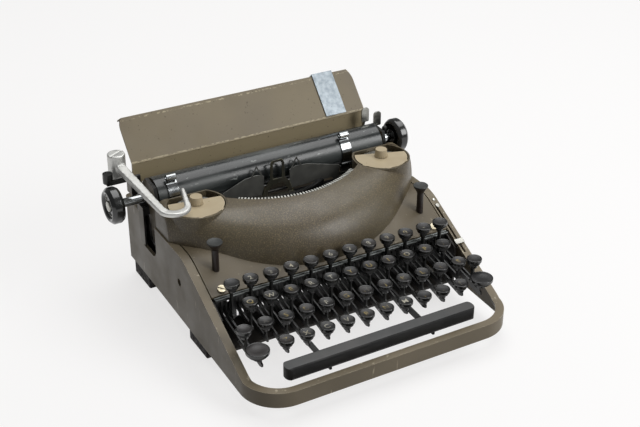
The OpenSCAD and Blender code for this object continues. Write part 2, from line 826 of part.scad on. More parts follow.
module platen_knob() {
  rotate_extrude() polygon([
    [platen_shaft_d / 2, 0], [platen_shaft_d / 2, knob_t - 3], [knob_d * 0.3, knob_t - 3],
    [knob_d * 0.34, knob_t - 1], [knob_d / 2 - 3, knob_t], [knob_d / 2, knob_t - 3],
    [knob_d / 2, 3], [knob_d / 2 - 2, 0], [knob_d / 2 - 4, 0], [knob_d / 2 - 4.5, knob_t / 2],
    [platen_shaft_d / 2 + 3, knob_t / 2], [platen_shaft_d / 2 + 3, 0]
  ]);
}

module platen_knobs() {
  color(key_black) {
    translate([left_knob_x + knob_t, platen_y, platen_z]) rotate([0, -90, 0]) platen_knob();
    translate([right_knob_x, platen_y, platen_z]) rotate([0, 90, 0]) platen_knob();
  }
}

// places a drawing of [along, out] on the sloping face of the paper table
module on_table() {
  translate([crease_y, crease_z]) rotate(table_up) children();
}

module paper_table() {
  color(olive) {
    intersection() {
      plate_x(table_x, table_w) union() {
        on_table() {
          translate([-0.8, -table_t]) square([table_len + 0.8, table_t]);
          translate([table_len - table_t, -table_fold]) square([table_t, table_fold]);
        }
        polygon([
          [table_foot_y, skirt_low], [crease_y, crease_z],
          [crease_y + table_t, crease_z - 0.4], [table_foot_y + table_t, skirt_low]
        ]);
      }
      translate([table_x, 0, 0]) rotate([90, 0, 0]) linear_extrude(600, center = true)
        round_rect(-table_w / 2, skirt_low, table_w / 2, table_top_z + 3, 4, 12);
    }
    for (x = [left_plate_x + end_plate_t, right_plate_x - 1.5])
      plate_x(x + 0.75, 1.5) polygon([
        [table_foot_y + 0.3, skirt_low + 8], [table_foot_y + 0.3, 102],
        [table_foot_y + 3, 102], [table_foot_y + 3, skirt_low + 8]
      ]);
  }
}

guide_w = 22;
guide_x = 84;
guide_t = 0.8;
guide_travel = 30;
module paper_guide() {
  color(chrome_plate) plate_x(guide_x, guide_w) on_table() {
    translate([1, run_gap]) square([table_len + guide_reach - 1, guide_t]);
    translate([table_len + guide_reach - guide_t, -table_fold - guide_reach])
      square([guide_t, table_fold + guide_reach + run_gap + guide_t]);
    translate([table_len - 5, -table_fold - guide_reach]) square([5 + guide_reach, guide_t]);
  }
}

hook_z = 120;
lever_head_top = 140;
module return_lever() {
  color(chrome_plate) difference() {
    union() {
      translate([pivot_x, pivot_y, bracket_z + run_gap])
        cylinder(h = lever_head_top - bracket_z - run_gap, d = 16);
      intersection() {
        translate([0, 0, 100]) linear_extrude(60) lever_plan();
        plate_x(-120, 120) polygon([
          [pivot_y + 10, 132], [pivot_y - 4, 132], [elbow_y, hook_z + 2], [30, hook_z + 2],
          [30, hook_z - 2], [elbow_y + 2, hook_z - 2], [pivot_y - 4, 126], [pivot_y + 10, 126]
        ]);
      }
    }
    translate([pivot_x, pivot_y, bracket_z - 5]) cylinder(h = 23.5, d = pivot_d + 2 * fit_gap);
    translate([pivot_x, pivot_y, lever_head_top]) rotate(30) cube([20, 1.6, 1.6], center = true);
  }
}

// the arm narrows to an elbow, then a slim hook curls round to the right and back
elbow_x = -132.5;
elbow_y = 62;
hook_r = 11;
hook_x = -121.5;
hook_tip = [-104.5, 89];
module lever_plan() {
  polygon([
    [pivot_x - 4.5, pivot_y], [elbow_x - 3.6, elbow_y + 6], [elbow_x + 3, elbow_y + 6],
    [pivot_x + 4.5, pivot_y]
  ]);
  translate([hook_x, elbow_y + 6.1]) difference() {
    circle(hook_r + 3.5);
    translate([1, 1]) circle(hook_r - 2.5);
    translate([-30, 0]) square([60, 40]);
  }
  polygon([
    [hook_x + hook_r - 1.5, elbow_y + 6], [hook_x + hook_r + 3.5, elbow_y + 6],
    [hook_tip[0] + 1.8, hook_tip[1]], [hook_tip[0] - 1.2, hook_tip[1] + 0.6]
  ]);
}

release_arm_x = -125.5;
release_tab_z = 119.3;
ball_at = [platen_right + 15.4, 130, 111];
// one shaft with a knob at the left and a ball lever at the right
module carriage_release_levers() {
  color(black_enamel) {
    translate([release_shaft_x[0], release_y, release_z]) rotate([0, 90, 0])
      cylinder(h = release_shaft_x[1] - release_shaft_x[0], d = release_d);
    plate_x(release_arm_x, 2.4) polygon([
      [release_y - 3, release_z - 3], [release_y - 4.8, release_tab_z + 2],
      [release_y - 1.8, release_tab_z + 2], [release_y + 3, release_z - 3]
    ]);
    translate([-152.5, release_y - 4.8, release_tab_z]) cube([28, 3, 2]);
    translate([-152.5, release_y + 0.5, release_tab_z - 0.8]) cylinder(h = 9, r = 4.5);
  }
  color(chrome_plate) {
    translate([ball_at[0], ball_at[1], ball_at[2]]) sphere(3);
    plate_x(ball_at[0], 2) polygon([
      [release_y - 3, release_z - 2], [ball_at[1] - 1.2, ball_at[2]],
      [ball_at[1] + 1.2, ball_at[2]], [release_y + 3, release_z - 2]
    ]);
  }
}

paper_tab_x = [platen_right - 1, platen_right + 12.8];
paper_tab_z = [118, 111];
// one shaft through the right end plate with a thumb tab on each side of it
module paper_release_lever() {
  color(steel) {
    translate([paper_tab_x[0] - 2, paper_shaft_y, paper_shaft_z]) rotate([0, 90, 0])
      cylinder(h = paper_tab_x[1] - paper_tab_x[0] + 4, d = paper_shaft_d);
    for (i = [0, 1]) {
      plate_x(paper_tab_x[i] - 0.6, 1.6) polygon([
        [paper_shaft_y - 2, paper_shaft_z - 2], [139.2, paper_tab_z[i] + 2],
        [141.2, paper_tab_z[i] + 2], [paper_shaft_y + 2, paper_shaft_z - 2]
      ]);
      translate([paper_tab_x[i], 141, 0]) rotate([90, 0, 0]) linear_extrude(1.4)
        translate([0, paper_tab_z[i]]) round_rect(-4, 0, 4, 14.4, 1, 3);
    }
  }
}

finger_rod_y = 109.9;
finger_rod_z = 87;
finger_rod_d = 3;
finger_r = platen_d / 2 + 0.5;
finger_x = [-104, 71];
finger_end = 112;
rod_angle = 180 + atan2(platen_z - finger_rod_z, platen_y - finger_rod_y);
rod_reach = norm([platen_z - finger_rod_z, platen_y - finger_rod_y]);
module paper_fingers() {
  color(chrome_plate) {
    translate([left_plate_x, finger_rod_y, finger_rod_z]) rotate([0, 90, 0])
      cylinder(h = right_plate_x - left_plate_x + end_plate_t, d = finger_rod_d);
    for (x = finger_x) {
      translate([x, platen_y, platen_z]) rotate([90, 0, 90]) rotate([0, 0, finger_end])
        rotate_extrude(angle = rod_angle - finger_end + 2) translate([finger_r, -5])
          square([0.8, 10]);
      translate([x - 4.8, platen_y, platen_z]) rotate([90, 0, 90]) linear_extrude(9.6) {
        rotate(rod_angle) translate([finger_r + 0.3, -0.8])
          square([rod_reach - finger_r - 0.3, 1.6]);
        rotate(finger_end + 4) translate([finger_r + 0.3, -0.8]) square([3.6, 1.6]);
      }
      translate([x - 4.3, platen_y, platen_z]) rotate([90, 0, 90]) linear_extrude(8.6)
        rotate(finger_end + 4) translate([finger_r + 3.9, 0]) circle(3);
    }
  }
}

plunger_top = 101;
plunger_low = body_top - 14;
module plunger() {
  color(key_black) translate([plunger_x, plunger_y, 0]) {
    translate([0, 0, plunger_low]) cylinder(h = plunger_top - 5 - plunger_low, d = plunger_stem_d);
    translate([0, 0, plunger_top - 6.5]) cylinder(h = 3.5, d1 = plunger_stem_d, d2 = key_d);
    translate([0, 0, plunger_top - 3]) cylinder(h = 3, d = key_d);
  }
}

module left_plunger() {
  mirror([1, 0, 0]) plunger();
}

module right_plunger() {
  plunger();
}

module touch_regulator() {
  color(steel) translate([touch_x, touch_y, arm_top(touch_y)]) rotate([atan(arm_slope), 0, 0]) {
    translate([-4.5, -2.5, run_gap]) cube([9, 5, 1.6]);
    translate([-0.8, -2, -5.5]) cube([1.6, 4, 7]);
    translate([-1.3, -2.5, -5.5]) cube([3, 5, 1.6]);
  }
}

placed() {
  base_frame();
  front_panel();
  ribbon_cover();
  chassis();
  key_comb();
  fulcrum_shaft();
  rubber_feet();
  cover_screws();
  type_basket();
  ribbon_guide();
  card_holder();
  spool_left();
  spool_right();
  spool_lids();
  carriage_rail();
  carriage_frame();
  platen();
  platen_knobs();
  paper_table();
  paper_guide();
  return_lever();
  carriage_release_levers();
  paper_release_lever();
  paper_fingers();
  space_bar();
  shift_keys();
  shift_lock();
  back_spacer();
  margin_release_key();
  tab_key();
  left_plunger();
  right_plunger();
  touch_regulator();
  figure_and_sign_keys();
  for (row = [1:3]) for (col = [0:len(letter_rows[row - 1]) - 1])
    letter_key(row, col);
}
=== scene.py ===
import json
import math
import bmesh
import bpy
from mathutils import Euler, Matrix, Vector


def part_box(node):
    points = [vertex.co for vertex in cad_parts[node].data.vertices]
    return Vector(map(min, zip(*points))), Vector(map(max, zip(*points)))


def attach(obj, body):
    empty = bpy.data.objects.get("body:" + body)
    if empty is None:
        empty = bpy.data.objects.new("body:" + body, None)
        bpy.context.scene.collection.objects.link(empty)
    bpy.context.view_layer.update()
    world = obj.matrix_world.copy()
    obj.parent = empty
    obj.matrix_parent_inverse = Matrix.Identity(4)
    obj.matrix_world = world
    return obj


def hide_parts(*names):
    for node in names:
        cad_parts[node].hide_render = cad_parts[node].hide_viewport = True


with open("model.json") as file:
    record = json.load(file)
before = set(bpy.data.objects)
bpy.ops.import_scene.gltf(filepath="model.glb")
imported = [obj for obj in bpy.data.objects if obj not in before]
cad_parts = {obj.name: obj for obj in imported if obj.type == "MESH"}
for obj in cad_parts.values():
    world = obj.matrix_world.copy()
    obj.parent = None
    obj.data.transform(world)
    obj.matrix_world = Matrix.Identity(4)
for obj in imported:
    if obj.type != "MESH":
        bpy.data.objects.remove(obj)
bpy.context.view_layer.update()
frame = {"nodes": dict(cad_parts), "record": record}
nodes = frame["nodes"]
bodyOf = {n: b for b, names in frame["record"]["behaviour"]["bodies"].items() for n in names}
print("frame loaded:", len(nodes), "nodes")

# the maker's places are in mm from the middle of the body and the figure row of keys
baseLow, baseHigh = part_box("base_frame")
zero = Vector(((baseLow.x + baseHigh.x) / 2, baseLow.y + 0.094, 0))


def place(x, y, z):
    return zero + Vector((x, y, z)) / 1000


def linear(hexColour):
    parts = [int(hexColour[i:i + 2], 16) / 255 for i in (1, 3, 5)]
    return [p / 12.92 if p <= 0.04045 else ((p + 0.055) / 1.055) ** 2.4 for p in parts] + [1.0]


def addNode(tree, kind, settings=None, inputs=None):
    node = tree.nodes.new(kind)
    for name, value in (settings or {}).items():
        setattr(node, name, value)
    for name, value in (inputs or {}).items():
        if isinstance(value, bpy.types.NodeSocket):
            tree.links.new(value, node.inputs[name])
        else:
            node.inputs[name].default_value = value
    return node


def newMaterial(name, roughness, metallic=0.0, colour="#808080", coat=0.0, sheen=0.5):
    mat = bpy.data.materials.new(name)
    mat.use_nodes = True
    tree = mat.node_tree
    shader = tree.nodes["Principled BSDF"]
    shader.inputs["Roughness"].default_value = roughness
    shader.inputs["Metallic"].default_value = metallic
    shader.inputs["Base Color"].default_value = linear(colour)
    shader.inputs["Specular IOR Level"].default_value = sheen
    if coat:
        shader.inputs["Coat Weight"].default_value = coat
        shader.inputs["Coat Roughness"].default_value = 0.12
    mat.diffuse_color = linear(colour)
    return mat, tree, shader


def mixColour(tree, factor, first, second):
    mix = addNode(tree, "ShaderNodeMix", {"data_type": "RGBA"})
    for socket, value in ((mix.inputs[6], first), (mix.inputs[7], second)):
        if isinstance(value, bpy.types.NodeSocket):
            tree.links.new(value, socket)
        else:
            socket.default_value = value
    tree.links.new(factor, mix.inputs[0])
    return mix.outputs[2]


def band(tree, value, low, high, toLow=0.0, toHigh=1.0):
    node = addNode(tree, "ShaderNodeMapRange", None, {
        "Value": value, "From Min": low, "From Max": high, "To Min": toLow, "To Max": toHigh})
    return node.outputs["Result"]


def compute(tree, operation, first, second=0.0, clamp=False):
    settings = {"operation": operation, "use_clamp": clamp}
    node = addNode(tree, "ShaderNodeMath", settings, {0: first, 1: second})
    return node.outputs[0]


def spots(tree, size, detail=2.0, stretch=(1, 1, 1), shift=0.0):
    # size is the width of one spot in mm
    coord = addNode(tree, "ShaderNodeTexCoord")
    mapping = addNode(tree, "ShaderNodeMapping", None, {
        "Vector": coord.outputs["Object"], "Scale": stretch, "Location": (shift, shift, shift)})
    noise = addNode(tree, "ShaderNodeTexNoise", None, {
        "Vector": mapping.outputs["Vector"], "Scale": 1000 / (2 * size), "Detail": detail})
    return noise.outputs["Fac"]


def edgePatches(tree, amount):
    # rounded edges carry the value 1 in edgeBand; noise breaks the edge colour into patches of wear, which
    # on the black enamel is partly a painted highlight
    edge = addNode(tree, "ShaderNodeAttribute", {"attribute_name": "edgeBand"}).outputs["Fac"]
    patch = band(tree, spots(tree, 4, 4, shift=9), 0.62 - amount / 3, 0.7 - amount / 4)
    return compute(tree, "MULTIPLY", edge, patch, True)


def varyGloss(tree, shader, size, low, high, detail=3, stretch=(1, 1, 1), shift=2):
    gloss = band(tree, spots(tree, size, detail, stretch, shift), 0.3, 0.7, low, high)
    tree.links.new(gloss, shader.inputs["Roughness"])


def drifting(tree, size, detail, deep, mid):
    # two near colours that run into each other in broad drifts of size mm
    return mixColour(tree, band(tree, spots(tree, size, detail), 0.35, 0.65), linear(deep), linear(mid))


def bump(tree, shader, height, strength, distance):
    node = addNode(tree, "ShaderNodeBump", None, {
        "Height": height, "Strength": strength, "Distance": distance / 1000})
    tree.links.new(node.outputs["Normal"], shader.inputs["Normal"])


# stoved wrinkle enamel: fine crinkle with pale golden specks that breaks up the sheen
wrinkleSettings = {"grain": 0.48, "height": 0.16, "drift": 40, "deep": "#4d4434", "mid": "#575040",
                   "speck": "#786b50", "bare": "#9c9078", "wear": 0.3}


def makeWrinklePaint():
    s = wrinkleSettings
    mat, tree, shader = newMaterial("wrinkleEnamel", 0.4, 0.0, s["mid"])
    broad = drifting(tree, s["drift"], 3, s["deep"], s["mid"])
    grain = spots(tree, s["grain"], 2, shift=3)
    speck = mixColour(tree, band(tree, grain, 0.5, 0.72), broad, linear(s["speck"]))
    colour = mixColour(tree, edgePatches(tree, s["wear"]), speck, linear(s["bare"]))
    tree.links.new(colour, shader.inputs["Base Color"])
    varyGloss(tree, shader, 9, 0.34, 0.48, detail=2, shift=7)
    bump(tree, shader, grain, 0.5, s["height"])
    return mat


# sprayed enamel: widths in mm of the colour's drifts, of dark flecks, of upright scuffs and of orange peel
enamelSettings = {"drift": 45, "fleck": 1.6, "fleckColour": "#37332b", "scuff": 2.6,
                  "scuffShape": (1, 1, 0.22), "peel": 0.9, "peelHeight": 0.05, "sheen": 0.3,
                  "gloss": (12, 0.33, 0.5)}


def finishEnamel(tree, shader, colour):
    s = enamelSettings
    tree.links.new(colour, shader.inputs["Base Color"])
    varyGloss(tree, shader, *s["gloss"])
    bump(tree, shader, spots(tree, s["peel"], 2, shift=5), 0.35, s["peelHeight"])


def makeSmoothEnamel(name, deep, mid, bare, amount, marks):
    # smooth sprayed enamel, a little darker in broad drifts, rubbed pale on its edges
    s = enamelSettings
    mat, tree, shader = newMaterial(name, 0.4, 0.0, mid, sheen=s["sheen"])
    broad = drifting(tree, s["drift"], 4, deep, mid)
    fleck = band(tree, spots(tree, s["fleck"], 3, shift=6), 0.73, 0.78, 0.0, marks)
    dotted = mixColour(tree, fleck, broad, linear(s["fleckColour"]))
    scuff = band(tree, spots(tree, s["scuff"], 4, s["scuffShape"], 11), 0.66, 0.75, 0.0, 0.6)
    scuffed = mixColour(tree, scuff, dotted, linear(bare))
    finishEnamel(tree, shader, mixColour(tree, edgePatches(tree, amount), scuffed, linear(bare)))
    return mat


# places in mm above the table of the worn fold and top edge, their widths, and how broken each line is
tableWear = {"fold": 126.6, "foldWidth": 0.5, "foldGaps": 0.42,
             "top": 156.0, "topWidth": 0.7, "topGaps": 0.5,
             # after deep and mid comes the paler colour of the leaf below the fold, which is painted light
             "plain": "#83785f", "deep": "#706654", "mid": "#7a6f58", "paintedLightBelowFold": "#978a6e", "chip": 1.2,
             "chipColour": "#443c2f", "rubbed": "#a89d82", "bare": "#a99e86", "amount": 0.5}


def wornLine(tree, height, level, width, gaps):
    away = compute(tree, "ABSOLUTE", compute(tree, "SUBTRACT", height, level / 1000))
    broken = band(tree, spots(tree, 0.8, 3, (0.6, 1, 1), 4), gaps, gaps + 0.12)
    return compute(tree, "MULTIPLY", band(tree, away, width / 2000, width / 1000, 1, 0), broken, True)


def makeTablePaint():
    # the table's enamel is chipped by paper clips and rubbed through along the fold and the top edge
    t = tableWear
    mat, tree, shader = newMaterial("sprayedTableEnamel", 0.4, 0.0, t["plain"])
    coord = addNode(tree, "ShaderNodeTexCoord").outputs["Object"]
    height = addNode(tree, "ShaderNodeSeparateXYZ", None, {"Vector": coord}).outputs["Z"]
    broad = drifting(tree, enamelSettings["drift"], 4, t["deep"], t["mid"])
    # the leaf below the fold is painted paler than the rest of the table: painted light on that leaf
    paintedLightBelowFold = band(tree, height, (t["fold"] - 1) / 1000, t["fold"] / 1000, 1, 0)
    broad = mixColour(tree, paintedLightBelowFold, broad, linear(t["paintedLightBelowFold"]))
    chip = band(tree, spots(tree, t["chip"], 2, shift=6), 0.69, 0.73, 0.0, 0.7)
    dotted = mixColour(tree, chip, broad, linear(t["chipColour"]))
    fold = wornLine(tree, height, t["fold"], t["foldWidth"], t["foldGaps"])
    top = wornLine(tree, height, t["top"], t["topWidth"], t["topGaps"])
    worked = mixColour(tree, compute(tree, "MAXIMUM", top, fold), dotted, linear(t["rubbed"]))
    finishEnamel(tree, shader, mixColour(tree, edgePatches(tree, t["amount"]), worked, linear(t["bare"])))
    return mat


def makePlainFinish(name, colour, second, roughness, metallic=0.0, size=6.0, coat=0.0, height=0.02,
                    stretch=(1, 1, 1), edge=None, amount=0.6, pits=None, sheen=0.5):
    # one noise for slight colour drift, a finer one for slight changes of gloss
    mat, tree, shader = newMaterial(name, roughness, metallic, colour, coat, sheen)
    drift = spots(tree, size, 3, stretch)
    colours = mixColour(tree, band(tree, drift, 0.35, 0.7), linear(colour), linear(second))
    if pits:
        dots = band(tree, spots(tree, 0.9, 2, shift=8), 0.7, 0.76)
        colours = mixColour(tree, dots, colours, linear(pits))
    if edge:
        colours = mixColour(tree, edgePatches(tree, amount), colours, linear(edge))
    tree.links.new(colours, shader.inputs["Base Color"])
    varyGloss(tree, shader, size / 2, roughness * 0.75, roughness * 1.3, 3, stretch, 4)
    bump(tree, shader, spots(tree, size / 6, 2, stretch), 0.3, height)
    return mat


def makeLegendPaint():
    # cream letter filling: gold where it has yellowed, dark where fingers have worn it away
    mat, tree, shader = newMaterial("creamLegendPaint", 0.5, 0.0, "#cfc6ab")
    yellow = band(tree, spots(tree, 16, 1, shift=1), 0.42, 0.52)
    aged = mixColour(tree, yellow, linear("#a39f90"), linear("#8f7d49"))
    gone = band(tree, spots(tree, 9, 2, shift=12), 0.47, 0.58)
    faded = mixColour(tree, gone, aged, linear("#403e3a"))
    tree.links.new(faded, shader.inputs["Base Color"])
    return mat


def makePlatenRubber():
    # hardened rubber: grey lengthwise streaks where paper has polished it
    mat, tree, shader = newMaterial("hardenedRubber", 0.34, 0.0, "#262929")
    streak = band(tree, spots(tree, 9, 4, (0.2, 1, 1), 2), 0.42, 0.68)
    colour = mixColour(tree, streak, linear("#202323"), linear("#4e5251"))
    scuff = band(tree, spots(tree, 1.6, 4, (0.4, 1, 1), 5), 0.64, 0.74)
    scuffed = mixColour(tree, scuff, colour, linear("#7c807d"))
    tree.links.new(scuffed, shader.inputs["Base Color"])
    tree.links.new(band(tree, streak, 0, 1, 0.22, 0.36), shader.inputs["Roughness"])
    bump(tree, shader, spots(tree, 0.8, 2, (0.4, 1, 1)), 0.3, 0.03)
    return mat


wrinklePaint = makeWrinklePaint()
# outside of the cast body: olive brown, handled most along the rail
bodyPaint = makeSmoothEnamel("sprayedBodyEnamel", "#6a6150", "#7a705e", "#cdc3ab", 0.95, 0.3)
# pressed sheet of the panel under the cover, cleaner than the body
panelPaint = makeSmoothEnamel("sprayedPanelEnamel", "#5d5444", "#665d4c", "#948a73", 0.4, 0.2)
# paper table: the lightest paint, with small dark chips
tablePaint = makeTablePaint()
# black japan enamel on steel levers: deep gloss; the grey on the rounded top edges is partly rubbed wear
# and partly a painted highlight
blackEnamel = makePlainFinish("blackEnamelledSteel", "#121313", "#1b1b19", 0.32, size=8, edge="#454542",
                              amount=0.45)
# moulded black phenolic sides of the keytops
keytopPlastic = makePlainFinish("mouldedPhenolic", "#161717", "#1e1e1c", 0.2, size=9, coat=0.5, height=0.01)
# undersides of the keytops, black and dull: darker than the sides as painted shade
capUndersideShade = makePlainFinish("phenolicUndersidePaintedShade", "#080808", "#0e0e0d", 0.6, size=5)
# grey hard rubber of the plungers' caps
hardRubber = makePlainFinish("greyedHardRubber", "#2b2d2d", "#373937", 0.5, size=7)
# touched faces of the keytops, dulled by fingers; their lighter slate grey is partly dust and partly a
# painted sheen
keyFaceSheen = makePlainFinish("phenolicFacePaintedSheen", "#1d1e1f", "#2b2827", 0.4, size=16, height=0.015)
legendFill = makeLegendPaint()
# off-white paint of the touch scale
scalePaint = makePlainFinish("offWhiteScalePaint", "#cfcabb", "#aaa597", 0.5, size=3)
# nickel-plated steel, brushed and slightly dull
nickelPlate = makePlainFinish("dullNickelPlate", "#b9b9b3", "#9d9c95", 0.34, 1.0, size=5, stretch=(1, 1, 3))
# thick silver-white plating of the return lever with small dark pits
leverPlate = makePlainFinish("whiteNickelPlate", "#d0d0cd", "#c4c4c0", 0.55, 1.0, size=14, pits="#8a8882",
                             height=0.006)
# bright chromium plate, spotted by age
chromePlate = makePlainFinish("agedChromiumPlate", "#abb4ba", "#8e979e", 0.42, 1.0, size=2.2,
                              pits="#5d656b")
# bright chromium plate of the paper fingers, their rollers and the platen's shaft
brightChrome = makePlainFinish("brightChromiumPlate", "#a3a6a7", "#8f9293", 0.14, 1.0, size=8, height=0.005)
# turned rods of the comb, polished by the levers
combRod = makePlainFinish("polishedSteelRod", "#5f6261", "#434544", 0.38, 1.0, size=5)
# bare turned or milled steel
bareSteel = makePlainFinish("milledSteel", "#a6a59f", "#93928b", 0.28, 1.0, size=12, height=0.006)
# ground steel of the segment's teeth, catching the light
typeSteel = makePlainFinish("groundTypeSteel", "#dcdcd6", "#b9b9b2", 0.5, 1.0, size=3, height=0.006)
# dark steel of the carriage rail and of the fingers' feet, deep inside
darkSteel = makePlainFinish("darkSteel", "#454543", "#363634", 0.5, 1.0, size=8)
# one-colour black phenolic of the space bar's front and ends, less polished than the keytops; its colour
# darker than theirs is painted shade
barPhenolicShade = makePlainFinish("spaceBarPhenolicShade", "#0a0a0a", "#10100f", 0.5, size=12, height=0.008,
                              sheen=0.25)
# top of the space bar, painted lighter grey than its front and ends: painted light on the top face
barTopPaintedLight = makePlainFinish("spaceBarTopPaintedLight", "#3a3b3b", "#434241", 0.42, size=14, height=0.008)
# black lacquer inside the body under a film of dust
dustyLacquer = makePlainFinish("dustyBlackLacquer", "#33302d", "#3e3a35", 0.6, size=7, edge="#5a5a56",
                               amount=0.4)
# lacquered steel of the card holder, worn to grey
wornLacquer = makePlainFinish("greyedSteelLacquer", "#484845", "#565652", 0.42, size=5, edge="#8b8b86")
# dark brown phenolic of the plungers' stems
brownPhenolic = makePlainFinish("brownPhenolic", "#251b17", "#1d1411", 0.4, size=5)
# pale brass of the two screws
brassPlate = makePlainFinish("paleBrass", "#c6bea8", "#a29a84", 0.4, 1.0, size=3)
# cream stoved paint on the ribbon cups' lids and knobs
tanPaint = makePlainFinish("creamStovedPaint", "#b3a589", "#ab9c80", 0.36, size=9, edge="#cdc1a7",
                           coat=0.15)
platenRubber = makePlatenRubber()
# soft black rubber of the feet, matt and dusty
footRubber = makePlainFinish("blackFootRubber", "#1c1918", "#282322", 0.7, size=4, sheen=0.3)
# dark olive enamel on the ribbon guide
oliveSteel = makePlainFinish("darkOliveEnamel", "#35332a", "#2a2921", 0.4, size=5, edge="#6d6a50")
print("materials made")


def softened(name, node, edge, materials, segments=2, pick=None, sharp=30):
    # a merged copy of a node whose sharp edges are rounded by edge mm
    mesh = bpy.data.meshes.new(name)
    bm = bmesh.new()
    bm.from_mesh(nodes[node].data)
    bmesh.ops.remove_doubles(bm, verts=bm.verts, dist=2e-6)
    bmesh.ops.dissolve_limit(bm, angle_limit=math.radians(0.6), verts=bm.verts, edges=bm.edges)
    rim = bm.faces.layers.float.new("edgeBand")
    if edge:
        least = math.radians(sharp)
        corners = [e for e in bm.edges if len(e.link_faces) == 2 and e.calc_face_angle(0) > least]
        made = bmesh.ops.bevel(bm, geom=corners, offset=edge / 1000, offset_type="OFFSET", affect="EDGES",
                               segments=segments, profile=0.5, material=-1, clamp_overlap=True)
        for face in made["faces"]:
            face[rim] = 1.0
    if pick:
        for face in bm.faces:
            face.material_index = pick(face.calc_center_median(), face.normal)
    bm.to_mesh(mesh)
    bm.free()
    for m in materials:
        mesh.materials.append(m)
    obj = bpy.data.objects.new(name, mesh)
    bpy.context.scene.collection.objects.link(obj)
    smoothShade(obj)
    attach(obj, bodyOf[node])
    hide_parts(node)
    return obj


def spun(name, profile, at, toward, materials, body, steps=32, pick=None):
    # turned piece: profile is [radius, along] in mm, at is a place, toward an axis
    mesh = bpy.data.meshes.new(name)
    bm = bmesh.new()
    verts = [bm.verts.new((r / 1000, 0, h / 1000)) for r, h in profile]
    edges = [bm.edges.new(pair) for pair in zip(verts, verts[1:])]
    bmesh.ops.spin(bm, geom=verts + edges, cent=(0, 0, 0), axis=(0, 0, 1), angle=math.tau, steps=steps,
                   use_merge=True)
    bmesh.ops.remove_doubles(bm, verts=bm.verts, dist=1e-6)
    bmesh.ops.recalc_face_normals(bm, faces=bm.faces)
    if pick:
        for face in bm.faces:
            c = face.calc_center_median()
            face.material_index = pick(math.hypot(c.x, c.y) * 1000, c.z * 1000)
    bm.to_mesh(mesh)
    bm.free()
    turn = Vector((0, 0, 1)).rotation_difference(Vector(toward)).to_matrix().to_4x4()
    mesh.transform(Matrix.Translation(at) @ turn)
    for m in materials:
        mesh.materials.append(m)
    obj = bpy.data.objects.new(name, mesh)
    bpy.context.scene.collection.objects.link(obj)
    smoothShade(obj)
    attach(obj, body)
    return obj


def smoothShade(obj, angle=32):
    mesh = obj.data
    mesh.polygons.foreach_set("use_smooth", [True] * len(mesh.polygons))
    mesh.set_sharp_from_angle(angle=math.radians(angle))
    weighted = obj.modifiers.new("weightedNormals", "WEIGHTED_NORMAL")
    weighted.keep_sharp = True


# plain pieces by node: name, rounding of the sharp edges in mm, finish
housing = {"base_frame": ("bodyShell", 1.1, bodyPaint), "front_panel": ("frontPanel", 0.4, panelPaint),
           "ribbon_cover": ("ribbonCover", 0.7, wrinklePaint),
           "paper_table": ("paperTable", 0.5, tablePaint),
           "chassis": ("innerChassis", 0.4, dustyLacquer), "rubber_feet": ("rubberFeet", 1.2, footRubber),
           "cover_screws": ("coverScrews", 0.25, brassPlate),
           "card_holder": ("cardHolder", 0.15, wornLacquer),
           "ribbon_guide": ("ribbonGuide", 0.2, oliveSteel), "spool_lids": ("spoolLids", 0.35, tanPaint),
           "paper_guide": ("paperGuide", 0.2, chromePlate),
           "carriage_release_levers": ("carriageRelease", 0.4, blackEnamel),
           "paper_release_lever": ("paperRelease", 0.3, nickelPlate),
           "touch_regulator": ("touchRegulator", 0.25, bareSteel)}
for node, (name, edge, finish) in housing.items():
    softened(name, node, edge, [finish])

# heights in mm above the table where a piece changes its finish
finishLevels = {"combRods": 61.45, "fingerFeet": 91, "spoolKnobs": 108.5, "barTopPaintedLight": 30}


def aboveLevel(name):
    level = finishLevels[name] / 1000
    return lambda c, n: 1 if c.z > level else 0


def belowLevel(name):
    level = finishLevels[name] / 1000
    return lambda c, n: 1 if c.z < level else 0


# upward faces high on the bar take the lighter top finish, which is painted light
def barPick(c, n):
    return 1 if n.z > 0.9 and c.z > finishLevels["barTopPaintedLight"] / 1000 else 0


softened("keyComb", "key_comb", 0.06, [blackEnamel, combRod], pick=aboveLevel("combRods"))
softened("paperFingers", "paper_fingers", 0.15, [brightChrome, darkSteel], pick=belowLevel("fingerFeet"))
softened("spaceBar", "space_bar", 2.4, [barPhenolicShade, barTopPaintedLight], 5, pick=barPick)
# the return lever is one casting: voxels round it off before it is smoothed
leverSettings = {"voxel": 0.7, "rounds": 12}
lever = softened("returnLever", "return_lever", 0.6, [leverPlate])
lever.modifiers.clear()
remesh = lever.modifiers.new("cast", "REMESH")
remesh.mode = "VOXEL"
remesh.voxel_size = leverSettings["voxel"] / 1000
remesh.use_smooth_shade = True
smooth = lever.modifiers.new("polish", "SMOOTH")
smooth.factor = 0.5
smooth.iterations = leverSettings["rounds"]
print("housing and carriage pieces made")

for node, name in (("spool_left", "spoolLeft"), ("spool_right", "spoolRight")):
    softened(name, node, 0.25, [bareSteel, tanPaint], pick=aboveLevel("spoolKnobs"))

# keys
keyboard = {"firstX": -85.2, "pitch": 19.05, "rowStep": 17.7, "rowDrop": 10.4, "topZ": 78.0,
            "shift": (0, -9.525, -4.7625, 4.7625), "hub": 9.0, "capRadius": 6.75, "dish": 21.6,
            "dishDepth": 0.9, "hubLift": 0.1, "widest": 10.8, "faceRadius": 10.5,
            "legend": 7.4, "lift": 0.05,
            "rows": ("234567890-", "QWERTYUIOP/", "ASDFGHJKL;$", "ZXCVBNM,.?"),
            "lip": ((5.4, -0.3), (5.7, -0.04), (6.0, 0.1), (6.3, 0.13), (6.55, 0.05), (6.72, -0.15),
                    (6.78, -0.45), (6.6, -0.7))}


def keyPlace(row, column):
    k = keyboard
    return place(k["firstX"] + k["shift"][row] + k["pitch"] * column, -k["rowStep"] * row,
                 k["topZ"] - k["rowDrop"] * row)


